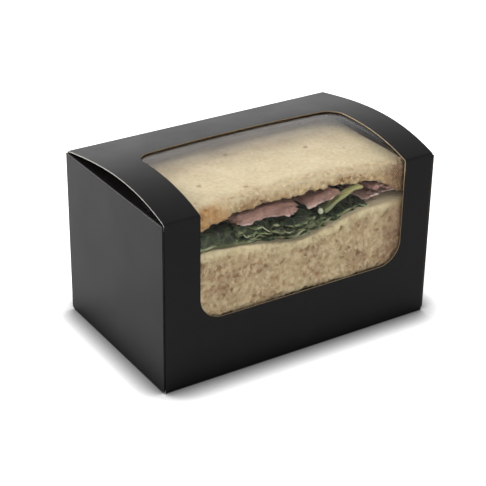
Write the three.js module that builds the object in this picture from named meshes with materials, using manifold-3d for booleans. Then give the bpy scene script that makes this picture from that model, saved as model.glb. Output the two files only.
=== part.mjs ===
// A black card sandwich box with a bowed top and a clear window that runs over its front-top fold,
// packed with a cut sandwich: two halves stacked, their cut faces to the window.
// Millimetres, +Z up. X runs along the box and -Y is the front. The origin is the middle of its base.

import * as THREE from 'three';
import { mergeVertices } from 'three/addons/utils/BufferGeometryUtils.js';
import Module from 'manifold-3d';

const wasm = await Module();
wasm.setup();

// Closed pack, outside
const LENGTH = 125; // over both end flaps
const DEPTH = 77; // front panel to back panel
const HEIGHT = 72; // front and back panels, fold to fold
const BOW = 5.25; // rise of the top between its folds
const BOW_LEAN = 0.3; // how far the bow is fuller towards the front

// Board, film and fits
const BOARD = 0.45; // thickness of the card
const FILM = 0.2; // thickness of the clear film
const TOUCH = 0.3; // left between two pieces that touch
const FOLD_RADIUS = 1.1; // outside radius of the panel folds
const GLUE_FLAP = 13; // height of the flap glued inside the back panel

// Window
const WINDOW_LENGTH = 94.4;
const WINDOW_SHIFT = 0.8; // the window sits a little to the right
const WINDOW_SILL = 27; // height of its lower edge on the front panel
const WINDOW_REACH = 50.5; // how far it runs over the top, from the front panel
const WINDOW_BACK_BULGE = 1.8; // its back edge is a shallow arc
const WINDOW_FRONT_CORNER = 10;
const WINDOW_TOP_CORNER = 8;
const FILM_LAP = 6; // glued border of the film round the window

// End flaps and dust flaps
const FLAP_SIDE_GAP = 0.2; // end flap short of the front and back faces
const FLAP_CORNER = 1.5; // lower corners of an end flap
const HINGE_GAP = 0.3; // above the hinge line
const TUCK = 10; // depth of the tuck that folds in under the top
const TUCK_SIDE_GAP = 1.3; // tuck short of the front and back faces, at its crease
const TUCK_TAPER = 2.6; // how much narrower a side gets before its corner
const TUCK_CORNER = 7.5;
const DUST_LENGTH = 30;
const DUST_LOW = 2; // dust flap's lower edge, above the base
const DUST_HIGH_GAP = 1.6; // dust flap's upper edge, below the tuck
const DUST_SLANT = 6; // both edges slant in towards the free end
const DUST_CORNER = 5;

// Sandwich
const BREAD_LENGTH = 105;
const BREAD_SHIFT = 1.3; // the sandwich sits a little to the right
const BREAD_DEPTH = 66;
const BREAD_FRONT_GAP = 1; // cut faces behind the film
const BREAD_FRONT_CORNER = 4;
const BREAD_BACK_CORNER = 14;
const LOWER_FILLING = 11.5;
const UPPER_FILLING = 7; // at the back; it's taller at the cut faces
const TOP_SLICE = 8.6; // the pressed slice on top
const TOP_CLEARANCE = 1.75; // top slice below the tucks
const FRONT_DIP = 6; // dip of the upper half's lower slice in the middle of its cut face
const DIP_WIDTH = 21; // from the dip's middle to where it has mostly ended
const SEAM_RISE = 1.2; // the two halves meet higher at their ends
const SEAM_BEND = 40; // how gently they rise
const FRONT_LIFT = 4.6; // how far the filling lifts the top slice at its cut face
const TOP_SETBACK = 7.5; // top slice behind the other cut faces, in its middle
const TOP_LEAN = 1.6; // lean of the top slice's cut face
const TOP_CRUSH = 4.2; // more lean at its crushed left end
const CRUMB = 0.35; // unevenness of a bread face
const CRUMB_WAVE = 33; // from one swell of a bread face to the next, along the box
const CRUMB_WAVE_DEEP = 27; // the same, front to back
const HAM = 1.4;
const HAM_WAD = 3.2; // slices of ham pressed together
const LEAF = 0.55;
const STALK = 1.5;
const FILLING_SETBACK = 2.6; // the foremost layer behind the cut faces
const FILLING_WANDER = 0.8; // of a layer's front edge
const FILLING_WANDER_WAVE = 20;
const FILLING_BACK = 12; // short of the slices' back edge
const SHALLOW = 1.2; // how much further back some layers start
const DEEP = 3;
const RIBBON_POINTS = 26; // along a folded layer
const BEND_STEPS = 4; // round a panel fold
const SIDE_STEP = 9; // along the straight sides of a slice
const CRUST_STEPS = 4; // round a corner of a slice
const BOW_STEPS = 20;
const CORNER_STEPS = 8;
const FILLING_STEPS = 3; // from the front of a layer to its back

// Worked out from the above
const FRONT = -DEPTH / 2;
const BACK = DEPTH / 2;
const SLEEVE_END = LENGTH / 2 - BOARD - TOUCH;
const TUCK_TOP = HEIGHT - BOARD - TOUCH;
const TUCK_UNDER = TUCK_TOP - BOARD;
const WINDOW_BACK = FRONT + WINDOW_REACH;
const FILM_FACE = FRONT + BOARD + TOUCH + FILM;
const BREAD_FRONT = FILM_FACE + BREAD_FRONT_GAP;
const BREAD_BACK = BREAD_FRONT + BREAD_DEPTH;
const FLOOR = BOARD + TOUCH;
const STACK = TUCK_UNDER - TOP_CLEARANCE - FLOOR;
const SLICE = (STACK - LOWER_FILLING - UPPER_FILLING - TOP_SLICE - 2 * TOUCH) / 3;
const LOWER_CRUMB_TOP = FLOOR + SLICE;
const LOWER_TOP_UNDER = LOWER_CRUMB_TOP + LOWER_FILLING;
const SEAM = LOWER_TOP_UNDER + SLICE + TOUCH;
const UPPER_CRUMB_TOP = SEAM + SLICE + TOUCH;
const TOP_UNDER = UPPER_CRUMB_TOP + UPPER_FILLING;

const FINISH = {
  card: { color: 0x1f1e1f, roughness: 0.55 },
  film: { color: 0xe8ecee, roughness: 0.08, transparent: true, opacity: 0.2 },
  bread: { color: 0xc9b48d, roughness: 0.95 },
  ham: { color: 0xb58a84, roughness: 0.5 },
  leaf: { color: 0x3b4a33, roughness: 0.6 },
  stalk: { color: 0x8a8a45, roughness: 0.6 },
};

function mesh(name, geometry, finish) {
  const node = new THREE.Mesh(geometry, new THREE.MeshStandardMaterial({ metalness: 0, ...finish }));
  node.name = name;
  return node;
}

// Booleans

function toSolid(geometry) {
  const bare = geometry.clone();
  bare.deleteAttribute('normal');
  bare.deleteAttribute('uv');
  const merged = mergeVertices(bare, 1e-4);
  const data = new wasm.Mesh({
    numProp: 3,
    vertProperties: new Float32Array(merged.attributes.position.array),
    triVerts: new Uint32Array(merged.index.array),
  });
  return new wasm.Manifold(data);
}

function toGeometry(solid) {
  const data = solid.getMesh();
  const geometry = new THREE.BufferGeometry();
  geometry.setAttribute('position', new THREE.BufferAttribute(data.vertProperties, 3));
  geometry.setIndex(new THREE.BufferAttribute(data.triVerts, 1));
  return geometry;
}

// Extrusions: a shape drawn in (y, z), (x, z) or (x, y), run along the third axis

function extrude(shape, low, high, steps, basis) {
  const options = { depth: high - low, steps, bevelEnabled: false, curveSegments: CORNER_STEPS };
  return new THREE.ExtrudeGeometry(shape, options).translate(0, 0, low).applyMatrix4(basis);
}

const X = new THREE.Vector3(1, 0, 0);
const Y = new THREE.Vector3(0, 1, 0);
const Z = new THREE.Vector3(0, 0, 1);

function alongX(shape, low, high) {
  return extrude(shape, low, high, 1, new THREE.Matrix4().makeBasis(Y, Z, X));
}

function alongY(shape, low, high, steps = 1) {
  const basis = new THREE.Matrix4().makeBasis(X, Z, Y.clone().negate());
  return extrude(shape, -high, -low, steps, basis);
}

function alongZ(shape, low, high) {
  return extrude(shape, low, high, 1, new THREE.Matrix4());
}

// Folded sheets

// The same line moved sideways to its left, with mitred corners.
function offsetLine(points, distance, closed = false) {
  const count = points.length;
  const side = (i, j) => {
    const along = points[j].clone().sub(points[i]).normalize();
    return new THREE.Vector2(-along.y, along.x);
  };
  return points.map((point, i) => {
    const first = !closed && i === 0;
    const last = !closed && i === count - 1;
    const before = first ? side(0, 1) : side((i + count - 1) % count, i);
    const after = last ? before : side(i, (i + 1) % count);
    const middle = before.clone().add(after).normalize();
    return point.clone().addScaledVector(middle, distance / middle.dot(before));
  });
}

// An arc that rounds the corner between two straight stretches.
function fold(before, corner, after, radius) {
  const arrive = corner.clone().sub(before).normalize();
  const leave = after.clone().sub(corner).normalize();
  const turn = Math.acos(arrive.dot(leave));
  const reach = radius * Math.tan(turn / 2);
  const start = corner.clone().addScaledVector(arrive, -reach);
  const inward = new THREE.Vector2(-arrive.y, arrive.x);
  const centre = start.clone().addScaledVector(inward, radius);
  const points = [];
  for (let i = 0; i <= BEND_STEPS; i++) {
    points.push(start.clone().rotateAround(centre, (turn * i) / BEND_STEPS));
  }
  return points;
}

// Outside of the bowed top at a share of the way from the back fold (0) to the front fold (1).
function bow(share) {
  const rise = 4 * BOW * share * (1 - share) * (1 + BOW_LEAN * (2 * share - 1));
  return new THREE.Vector2(BACK - DEPTH * share, HEIGHT + rise);
}

function bowFrom(start) {
  const points = [];
  for (let i = 0; i < BOW_STEPS; i++) {
    const share = i / BOW_STEPS;
    if (share > start) points.push(bow(share));
  }
  return points;
}

function frontFold() {
  return fold(bow(1 - 1 / BOW_STEPS), bow(1), new THREE.Vector2(FRONT, 0), FOLD_RADIUS);
}

// Outside of the sleeve's section, from the base's front fold round by the back and the top.
function sleeveOutside() {
  const baseFront = new THREE.Vector2(FRONT, 0);
  const baseBack = new THREE.Vector2(BACK, 0);
  return [
    ...fold(bow(1), baseFront, baseBack, FOLD_RADIUS),
    ...fold(baseFront, baseBack, bow(0), FOLD_RADIUS),
    ...fold(baseBack, bow(0), bow(1 / BOW_STEPS), FOLD_RADIUS),
    ...bowFrom(0),
    ...frontFold(),
  ];
}

function sleeve() {
  const outside = sleeveOutside();
  const section = new THREE.Shape(outside);
  section.holes.push(new THREE.Path(offsetLine(outside, BOARD, true)));
  return toSolid(alongX(section, -SLEEVE_END, SLEEVE_END));
}

// Window: a rounded opening that runs over the front-top fold

function windowInFront() {
  const left = WINDOW_SHIFT - WINDOW_LENGTH / 2;
  const right = WINDOW_SHIFT + WINDOW_LENGTH / 2;
  const corner = WINDOW_FRONT_CORNER;
  const shape = new THREE.Shape();
  shape.moveTo(right, HEIGHT);
  shape.lineTo(left, HEIGHT);
  shape.absarc(left + corner, WINDOW_SILL + corner, corner, Math.PI, 1.5 * Math.PI);
  shape.absarc(right - corner, WINDOW_SILL + corner, corner, 1.5 * Math.PI, 2 * Math.PI);
  return toSolid(alongY(shape, FRONT - 1, FRONT + FOLD_RADIUS + 1));
}

function windowInTop() {
  const left = WINDOW_SHIFT - WINDOW_LENGTH / 2;
  const right = WINDOW_SHIFT + WINDOW_LENGTH / 2;
  const corner = WINDOW_TOP_CORNER;
  const shape = new THREE.Shape();
  shape.moveTo(left, FRONT - 1);
  shape.lineTo(right, FRONT - 1);
  shape.absarc(right - corner, WINDOW_BACK - corner, corner, 0, 0.5 * Math.PI);
  shape.quadraticCurveTo(WINDOW_SHIFT, WINDOW_BACK + 2 * WINDOW_BACK_BULGE, left + corner, WINDOW_BACK);
  shape.absarc(left + corner, WINDOW_BACK - corner, corner, 0.5 * Math.PI, Math.PI);
  return toSolid(alongZ(shape, HEIGHT - FOLD_RADIUS - 1, HEIGHT + 2 * BOW));
}

// A dust flap, drawn in (y, z) with its crease at the front panel.
function dustFlap() {
  const crease = FRONT + BOARD / 2;
  const free = FRONT + DUST_LENGTH;
  const high = TUCK_UNDER - DUST_HIGH_GAP;
  const shape = new THREE.Shape();
  shape.moveTo(crease, DUST_LOW);
  shape.lineTo(free - DUST_CORNER, DUST_LOW + DUST_SLANT);
  shape.quadraticCurveTo(free, DUST_LOW + DUST_SLANT, free, DUST_LOW + DUST_SLANT + DUST_CORNER);
  shape.lineTo(free, high - DUST_SLANT - DUST_CORNER);
  shape.quadraticCurveTo(free, high - DUST_SLANT, free - DUST_CORNER, high - DUST_SLANT);
  shape.lineTo(crease, high);
  const flap = toSolid(alongX(shape, SLEEVE_END - BOARD, SLEEVE_END));
  return [flap, flap.mirror([1, 0, 0]), flap.mirror([0, 1, 0]), flap.mirror([1, 1, 0]).mirror([1, -1, 0])];
}

function glueFlap() {
  const shape = new THREE.Shape();
  const inside = BACK - BOARD;
  shape.moveTo(inside - BOARD, BOARD / 2);
  shape.lineTo(inside + BOARD / 2, BOARD / 2);
  shape.lineTo(inside + BOARD / 2, GLUE_FLAP);
  shape.lineTo(inside - BOARD, GLUE_FLAP);
  return toSolid(alongX(shape, -SLEEVE_END + DUST_LOW, SLEEVE_END - DUST_LOW));
}

function carton() {
  let board = sleeve().add(glueFlap());
  for (const flap of dustFlap()) board = board.add(flap);
  board = board.subtract(windowInFront()).subtract(windowInTop());
  return mesh('carton', toGeometry(board), FINISH.card);
}

function windowFilm() {
  const back = (BACK - WINDOW_BACK - WINDOW_BACK_BULGE - FILM_LAP) / DEPTH;
  const foot = new THREE.Vector2(FRONT, WINDOW_SILL - FILM_LAP);
  const line = [bow(back), ...bowFrom(back), ...frontFold(), foot];
  const outer = offsetLine(line, BOARD + TOUCH);
  const inner = offsetLine(line, BOARD + TOUCH + FILM);
  const half = WINDOW_LENGTH / 2 + FILM_LAP;
  const section = new THREE.Shape([...outer, ...inner.reverse()]);
  return mesh('window_film', alongX(section, WINDOW_SHIFT - half, WINDOW_SHIFT + half), FINISH.film);
}

// End flap: a panel with its tuck folded in at the top, drawn for the right end.
function flapSheet() {
  const face = LENGTH / 2;
  const foot = new THREE.Vector2(face, BOARD + HINGE_GAP);
  const crease = new THREE.Vector2(face, TUCK_TOP);
  const tip = new THREE.Vector2(face - TUCK, TUCK_TOP);
  const line = [foot, ...fold(foot, crease, tip, FOLD_RADIUS), tip];
  const section = new THREE.Shape([...line, ...offsetLine(line, BOARD).reverse()]);
  return toSolid(alongY(section, FRONT + FLAP_SIDE_GAP, BACK - FLAP_SIDE_GAP));
}

// What is cut from the front side of the tuck, so that it tapers to a round corner.
function tuckTrim() {
  const crease = LENGTH / 2 - BOARD;
  const tip = LENGTH / 2 - TUCK;
  const side = FRONT + TUCK_SIDE_GAP;
  const corner = side + TUCK_TAPER;
  const shape = new THREE.Shape();
  shape.moveTo(crease, FRONT - 1);
  shape.lineTo(crease, side);
  shape.lineTo(tip + TUCK_CORNER, corner);
  shape.quadraticCurveTo(tip, corner, tip, corner + TUCK_CORNER);
  shape.lineTo(tip - 1, corner + TUCK_CORNER);
  shape.lineTo(tip - 1, FRONT - 1);
  return toSolid(alongZ(shape, TUCK_UNDER - FOLD_RADIUS, HEIGHT));
}

// What rounds the front lower corner of the panel.
function cornerTrim() {
  const side = FRONT + FLAP_SIDE_GAP;
  const foot = BOARD + HINGE_GAP;
  const shape = new THREE.Shape();
  shape.moveTo(side - 1, foot - 1);
  shape.lineTo(side + FLAP_CORNER, foot - 1);
  shape.lineTo(side + FLAP_CORNER, foot);
  shape.quadraticCurveTo(side, foot, side, foot + FLAP_CORNER);
  shape.lineTo(side - 1, foot + FLAP_CORNER);
  return toSolid(alongX(shape, LENGTH / 2 - FOLD_RADIUS, LENGTH / 2 + 1));
}

function endFlaps() {
  const trims = [tuckTrim(), cornerTrim()];
  let right = flapSheet();
  for (const trim of trims) right = right.subtract(trim).subtract(trim.mirror([0, 1, 0]));
  const left = right.mirror([1, 0, 0]);
  return [
    mesh('end_flap_left', toGeometry(left), FINISH.card),
    mesh('end_flap_right', toGeometry(right), FINISH.card),
  ];
}

// Bread: each face is a height over the box's floor plan

function uneven(x, y, phase) {
  const along = Math.sin((2 * Math.PI * x) / CRUMB_WAVE + phase);
  const across = Math.sin((2 * Math.PI * y) / CRUMB_WAVE_DEEP + 2 * phase);
  return (CRUMB * (along + across)) / 2;
}

// 1 at the cut faces, falling to 0 over the given distance behind them.
function nearFront(y, reach) {
  return 1 - THREE.MathUtils.smoothstep(y, BREAD_FRONT, BREAD_FRONT + reach);
}

const faces = {
  floor: () => FLOOR,
  lowerCrumbTop: (x, y) => LOWER_CRUMB_TOP + uneven(x, y, 1),
  lowerTopUnder: (x, y) => LOWER_TOP_UNDER + uneven(x, y, 2),
  seam: (x, y) => SEAM + uneven(x, y, 3) + SEAM_RISE * (1 - Math.cos(x / SEAM_BEND)),
  upperCrumbTop: (x, y) => {
    const across = 1 - Math.exp(-((x / DIP_WIDTH) ** 2));
    return UPPER_CRUMB_TOP + uneven(x, y, 4) + FRONT_DIP * (across - 0.75) * nearFront(y, BREAD_DEPTH);
  },
  topUnder: (x, y) => {
    const across = 1 - (x / (BREAD_LENGTH / 2)) ** 4;
    return TOP_UNDER + uneven(x, y, 5) + FRONT_LIFT * across * nearFront(y, BREAD_DEPTH / 2);
  },
  top: (x, y) => TOP_UNDER + TOP_SLICE + uneven(x, y, 6),
};

const below = (face, gap) => (x, y) => face(x, y) - gap;

// How far the top slice's cut face stands back, at its lower (0) to upper (1) edge.
function topSetback(x, share) {
  const middle = TOP_SETBACK * Math.max(0, 1 - (x / (BREAD_LENGTH / 2)) ** 2);
  const crushed = TOP_CRUSH * THREE.MathUtils.smoothstep(-x, BREAD_LENGTH / 6, BREAD_LENGTH / 3);
  return middle + share * (TOP_LEAN + crushed);
}

function sliceOutline() {
  const half = BREAD_LENGTH / 2;
  const a = BREAD_FRONT_CORNER;
  const b = BREAD_BACK_CORNER;
  const shape = new THREE.Shape();
  shape.absarc(-half + a, BREAD_FRONT + a, a, Math.PI, 1.5 * Math.PI);
  shape.absarc(half - a, BREAD_FRONT + a, a, 1.5 * Math.PI, 2 * Math.PI);
  shape.absarc(half - b, BREAD_BACK - b, b, 0, 0.5 * Math.PI);
  shape.absarc(-half + b, BREAD_BACK - b, b, 0.5 * Math.PI, Math.PI);
  shape.closePath();
  return shape.curves.flatMap((curve) => {
    const straight = curve.type === 'LineCurve';
    const steps = straight ? Math.round(curve.getLength() / SIDE_STEP) : CRUST_STEPS;
    return curve.getPoints(steps).slice(1);
  });
}

// Rings of a slice, from the middle of its underside over its edge: [size, share of its height].
const SLICE_RINGS = [
  [0.45, 0], [0.85, 0], [0.985, 0],
  [1, 0.1], [1, 0.5], [1, 0.9],
  [0.985, 1], [0.85, 1], [0.45, 1],
];

function slice(name, under, over, setback = () => 0) {
  const outline = sliceOutline();
  const centre = new THREE.Vector2(0, BREAD_FRONT + BREAD_DEPTH / 2);
  const positions = [];
  const place = (x, y, share) => {
    const shifted = y + setback(x, share) * nearFront(y, BREAD_DEPTH);
    const real = x + BREAD_SHIFT;
    positions.push(real, shifted, THREE.MathUtils.lerp(under(real, shifted), over(real, shifted), share));
  };
  place(centre.x, centre.y, 0);
  for (const [size, share] of SLICE_RINGS) {
    for (const point of outline) {
      const at = centre.clone().lerp(point, size);
      place(at.x, at.y, share);
    }
  }
  place(centre.x, centre.y, 1);

  const index = [];
  const count = outline.length;
  const top = 1 + SLICE_RINGS.length * count;
  for (let i = 0; i < count; i++) {
    const next = (i + 1) % count;
    index.push(0, 1 + next, 1 + i);
    for (let ring = 0; ring < SLICE_RINGS.length - 1; ring++) {
      const a = 1 + ring * count;
      const b = a + count;
      index.push(a + i, a + next, b + next, a + i, b + next, b + i);
    }
    index.push(top - count + i, top - count + next, top);
  }
  const geometry = new THREE.BufferGeometry();
  geometry.setAttribute('position', new THREE.Float32BufferAttribute(positions, 3));
  geometry.setIndex(index);
  return mesh(name, geometry, FINISH.bread);
}

// Filling: each layer is drawn as a line in hundredths of a slice's length and of the gap's height,
// and is then fitted between the two bread faces that hold it

const PERCENT = 100;

function wave(from, to, height, swing, waves) {
  const points = [];
  const steps = waves * 4;
  for (let i = 0; i <= steps; i++) {
    const x = THREE.MathUtils.lerp(from, to, i / steps);
    points.push([x, height + swing * Math.sin((Math.PI / 2) * i)]);
  }
  return points;
}

function layerShape(points, thickness, height) {
  const place = ([x, z]) => new THREE.Vector2((x * BREAD_LENGTH) / PERCENT, (z * height) / PERCENT);
  const middle = new THREE.SplineCurve(points.map(place)).getSpacedPoints(RIBBON_POINTS);
  const over = offsetLine(middle, thickness / 2);
  const under = offsetLine(middle, -thickness / 2);
  return new THREE.Shape([...under, ...over.reverse()]);
}

function layer(name, gap, points, thickness, setback, finish) {
  const geometry = alongY(layerShape(points, thickness, gap.height), 0, 1, FILLING_STEPS);
  const position = geometry.attributes.position;
  for (let i = 0; i < position.count; i++) {
    const x = position.getX(i);
    const wander = FILLING_WANDER * Math.sin((2 * Math.PI * x) / FILLING_WANDER_WAVE);
    const front = BREAD_FRONT + FILLING_SETBACK + setback + wander;
    const y = THREE.MathUtils.lerp(front, BREAD_BACK - FILLING_BACK, position.getY(i));
    const share = position.getZ(i) / gap.height;
    position.setXYZ(i, x, y, THREE.MathUtils.lerp(gap.under(x, y), gap.over(x, y), share));
  }
  return mesh(name, geometry, finish);
}

function lowerHalf() {
  const gap = { under: faces.lowerCrumbTop, over: below(faces.lowerTopUnder, TOUCH), height: LOWER_FILLING };
  return [
    slice('lower_bottom_slice', faces.floor, below(faces.lowerCrumbTop, TOUCH)),
    layer('lower_leaf', gap, wave(-44, 8, 13, 5, 4), LEAF, DEEP, FINISH.leaf),
    layer('lower_leaf_back', gap, wave(12, 44, 13, 5, 3), LEAF, DEEP, FINISH.leaf),
    layer('lower_ham_left', gap, wave(-45, -2, 60, 28, 2), HAM, DEEP, FINISH.ham),
    layer('lower_ham_right', gap, wave(3, 45, 60, 28, 2), HAM, DEEP, FINISH.ham),
    slice('lower_top_slice', faces.lowerTopUnder, below(faces.seam, TOUCH)),
  ];
}

function upperHalf() {
  const height = UPPER_FILLING + FRONT_LIFT;
  const gap = { under: faces.upperCrumbTop, over: below(faces.topUnder, TOUCH), height };
  const middleHam = [[-27, 74], [-18, 78], [-8, 80], [2, 77]];
  const smallHam = [[5.5, 72], [12, 80], [19, 90]];
  const rightHam = [[30, 30], [38, 28], [45, 33], [48, 46], [43, 57], [35, 62], [37, 78], [45, 84]];
  const stalk = [[12, 44], [18, 60], [24, 77], [29.5, 91]];
  return [
    slice('upper_bottom_slice', faces.seam, below(faces.upperCrumbTop, TOUCH)),
    layer('upper_leaf_low', gap, wave(-26, 32, 12, 4, 5), LEAF, SHALLOW, FINISH.leaf),
    layer('upper_leaf_middle', gap, wave(-27, 13, 30, 8, 4), LEAF, SHALLOW, FINISH.leaf),
    layer('upper_leaf_high', gap, wave(-27, 8, 51, 6, 3), LEAF, 0, FINISH.leaf),
    layer('upper_leaf_left_low', gap, wave(-48, -29, 17, 7, 2), LEAF, DEEP, FINISH.leaf),
    layer('upper_leaf_left', gap, wave(-48, -30, 45, 10, 2), LEAF, DEEP, FINISH.leaf),
    layer('upper_leaf_left_high', gap, wave(-48, -31, 78, 14, 1), LEAF, SHALLOW, FINISH.leaf),
    layer('upper_leaf_stem', gap, stalk, STALK, 0, FINISH.stalk),
    layer('upper_ham_middle', gap, middleHam, HAM_WAD, 0, FINISH.ham),
    layer('upper_ham_small', gap, smallHam, HAM, 0, FINISH.ham),
    layer('upper_ham_right', gap, rightHam, HAM, SHALLOW, FINISH.ham),
    slice('upper_top_slice', faces.topUnder, faces.top, topSetback),
  ];
}

const group = new THREE.Group();
group.add(carton(), windowFilm(), ...endFlaps(), ...lowerHalf(), ...upperHalf());

export default group;
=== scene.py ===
"""A black card sandwich box with a bowed top and a clear window over its front-top fold,
packed with a cut ham and salad sandwich. Metres, +Z up; its front with the window faces -Y."""

from math import cos, pi, radians, sin

import bmesh
import bpy
import numpy as np
from mathutils import Matrix, Vector


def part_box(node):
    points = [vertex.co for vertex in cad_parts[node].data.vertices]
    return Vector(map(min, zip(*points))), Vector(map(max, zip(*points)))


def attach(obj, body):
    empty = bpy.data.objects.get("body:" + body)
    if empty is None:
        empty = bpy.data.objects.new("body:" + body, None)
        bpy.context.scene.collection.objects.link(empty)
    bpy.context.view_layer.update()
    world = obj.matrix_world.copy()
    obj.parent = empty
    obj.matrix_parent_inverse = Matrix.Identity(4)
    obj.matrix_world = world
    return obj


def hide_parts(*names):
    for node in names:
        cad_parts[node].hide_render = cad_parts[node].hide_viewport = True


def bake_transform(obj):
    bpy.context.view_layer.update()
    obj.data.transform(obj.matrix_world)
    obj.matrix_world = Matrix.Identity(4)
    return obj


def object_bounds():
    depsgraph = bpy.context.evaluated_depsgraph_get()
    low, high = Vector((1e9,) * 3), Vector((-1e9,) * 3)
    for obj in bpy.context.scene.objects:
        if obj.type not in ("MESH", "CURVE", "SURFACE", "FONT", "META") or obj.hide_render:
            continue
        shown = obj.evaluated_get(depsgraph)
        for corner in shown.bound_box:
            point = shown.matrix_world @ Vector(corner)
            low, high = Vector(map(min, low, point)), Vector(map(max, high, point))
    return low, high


MM = 0.001
TINY = 0.02 * MM
SHARP_FOLD = radians(35)

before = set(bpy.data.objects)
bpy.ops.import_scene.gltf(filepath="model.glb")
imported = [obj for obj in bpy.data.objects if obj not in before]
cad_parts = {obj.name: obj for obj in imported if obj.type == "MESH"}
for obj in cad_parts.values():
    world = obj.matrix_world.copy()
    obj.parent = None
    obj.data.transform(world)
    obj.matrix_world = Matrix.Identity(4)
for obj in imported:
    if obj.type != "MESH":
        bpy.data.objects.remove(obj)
cad_low, cad_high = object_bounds()

# Sizes read from the frame

SLEEVE_LOW, SLEEVE_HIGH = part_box("carton")
FLAP_LOW, FLAP_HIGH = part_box("end_flap_right")
SLEEVE_END = SLEEVE_HIGH.x
FRONT = SLEEVE_LOW.y
BACK = SLEEVE_HIGH.y
DEPTH = BACK - FRONT
HALF_LENGTH = FLAP_HIGH.x
TUCK_TOP = FLAP_HIGH.z
BREAD_LOW, BREAD_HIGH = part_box("upper_bottom_slice")
BREAD_FRONT = BREAD_LOW.y
BREAD_LEFT = BREAD_LOW.x
BREAD_RIGHT = BREAD_HIGH.x
BREAD_MIDDLE = (BREAD_LEFT + BREAD_RIGHT) / 2
BREAD_HALF = (BREAD_RIGHT - BREAD_LEFT) / 2
FILM_SIDE = BREAD_FRONT - 0.75 * MM

# Carton, as its solids have it

BOARD = 0.45 * MM
FILM = 0.2 * MM
TOUCH = 0.3 * MM
FOLD_HEIGHT = 72 * MM
BOW = 5.25 * MM
BOW_LEAN = 0.3
BOW_ROWS = 44
FOLD_RADIUS = 0.9 * MM
FOLD_STEPS = 6
SIDE_FOLD = 0.55 * MM
WINDOW_HALF = 47.2 * MM
WINDOW_SHIFT = 0.8 * MM
WINDOW_SILL = 27 * MM
WINDOW_BACK = 12 * MM
WINDOW_BULGE = 1.8 * MM
WINDOW_FRONT_CORNER = 10 * MM
WINDOW_TOP_CORNER = 8 * MM
CORNER_STEPS = 14
WINDOW_STEPS = 20
FILM_LAP = 6 * MM
PANEL_HALF_WIDTH = FLAP_HIGH.y
TUCK = HALF_LENGTH - FLAP_LOW.x
TUCK_HALF_WIDTH = 37.2 * MM
TUCK_TIP_HALF_WIDTH = 34.6 * MM
TUCK_CORNER = 7.5 * MM
PANEL_CORNER = 1.5 * MM
DUST_LOW = 2 * MM
DUST_HIGH = 69.2 * MM
DUST_LENGTH = 30 * MM
DUST_SLANT = 6 * MM
DUST_CORNER = 5 * MM
GLUE_FLAP = 13 * MM
GLUE_CORNER = 4 * MM
GLUE_INSET = 2 * MM

# Film's painted shade and reflection, from front to back

PAINTED_SHADE_START = -3 * MM
PAINTED_SHADE_FULL = 9 * MM

# Sandwich

JOINT_REACH = 0.45 * MM
SAG = 4.4 * MM
BREAD_COLUMN = 2 * MM
HAM_COLUMN = 1.5 * MM
LEAF_DEPTH = 22 * MM
LEAF_THICKNESS = 0.3 * MM
CURL = 10 * MM
LIP_START = 5.5 * MM
STALK_DEPTH = 5 * MM
RIB_PLACE = (10 * MM, FRONT + 3.5 * MM, 58.2 * MM)
RIB_SIZE = (1.0 * MM, 1.0 * MM, 1.3 * MM)
RIB_TILT = radians(-25)

# Camera and floor

FLOOR_SIZE = 8
CAMERA_PLACE = (-0.295291, -0.450912, 0.312494)
CAMERA_AZIMUTH = radians(-32.96)
CAMERA_ELEVATION = radians(27.564)
CAMERA_ROLL = radians(0.936)
SENSOR = 36
FOCAL_PIXELS = 1481.16
PICTURE_PIXELS = 486


# Modelling helpers


def deselect():
    if bpy.context.object and bpy.context.object.mode != "OBJECT":
        bpy.ops.object.mode_set(mode="OBJECT")
    bpy.ops.object.select_all(action="DESELECT")


def activate(piece):
    deselect()
    piece.select_set(True)
    bpy.context.view_layer.objects.active = piece


def edit(piece):
    activate(piece)
    bpy.ops.object.mode_set(mode="EDIT")


def done():
    bpy.ops.object.mode_set(mode="OBJECT")


def settle(piece):
    """Puts the piece's place, turn and size into its mesh."""
    activate(piece)
    bpy.ops.object.transform_apply(location=True, rotation=True, scale=True)
    return piece


def named(name):
    piece = bpy.context.object
    piece.name = name
    piece.data.name = name
    return piece


def box(name, low, high):
    deselect()
    low, high = Vector(low), Vector(high)
    bpy.ops.mesh.primitive_cube_add(size=1, location=(low + high) / 2)
    piece = named(name)
    piece.scale = high - low
    return settle(piece)


def pick(kind, test):
    """In edit mode, selects what passes a test of its middle and its normal (an edge's direction)."""
    bpy.ops.mesh.select_mode(type=kind)
    bpy.ops.mesh.select_all(action="DESELECT")
    data = bpy.context.object.data
    work = bmesh.from_edit_mesh(data)
    if kind == "VERT":
        for vert in work.verts:
            vert.select_set(bool(test(vert.co, vert.normal)))
    elif kind == "EDGE":
        for edge in work.edges:
            a, b = (vert.co for vert in edge.verts)
            edge.select_set(bool(test((a + b) / 2, (b - a).normalized())))
    else:
        for face in work.faces:
            face.select_set(bool(test(face.calc_center_median(), face.normal)))
    bmesh.update_edit_mesh(data)


def cut(place, normal, **clear):
    """In edit mode, cuts the whole mesh along a plane."""
    bpy.ops.mesh.select_all(action="SELECT")
    bpy.ops.mesh.bisect(plane_co=place, plane_no=normal, **clear)


def apply(piece, kind, **values):
    """Adds a modifier and applies it."""
    activate(piece)
    modifier = piece.modifiers.new(kind.lower(), kind)
    for key, value in values.items():
        setattr(modifier, key, value)
    bpy.ops.object.modifier_apply(modifier=modifier.name)


def face_outwards(piece):
    edit(piece)
    bpy.ops.mesh.select_all(action="SELECT")
    bpy.ops.mesh.normals_make_consistent(inside=False)
    done()


def finish_card(piece, rim="cut_edge"):
    """Card's outside, inside and cut edges, as finishes 0, 1 and 2."""
    for finish in ("satin_black_card", "kraft_inside", rim):
        piece.data.materials.append(bpy.data.materials[finish])


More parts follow.
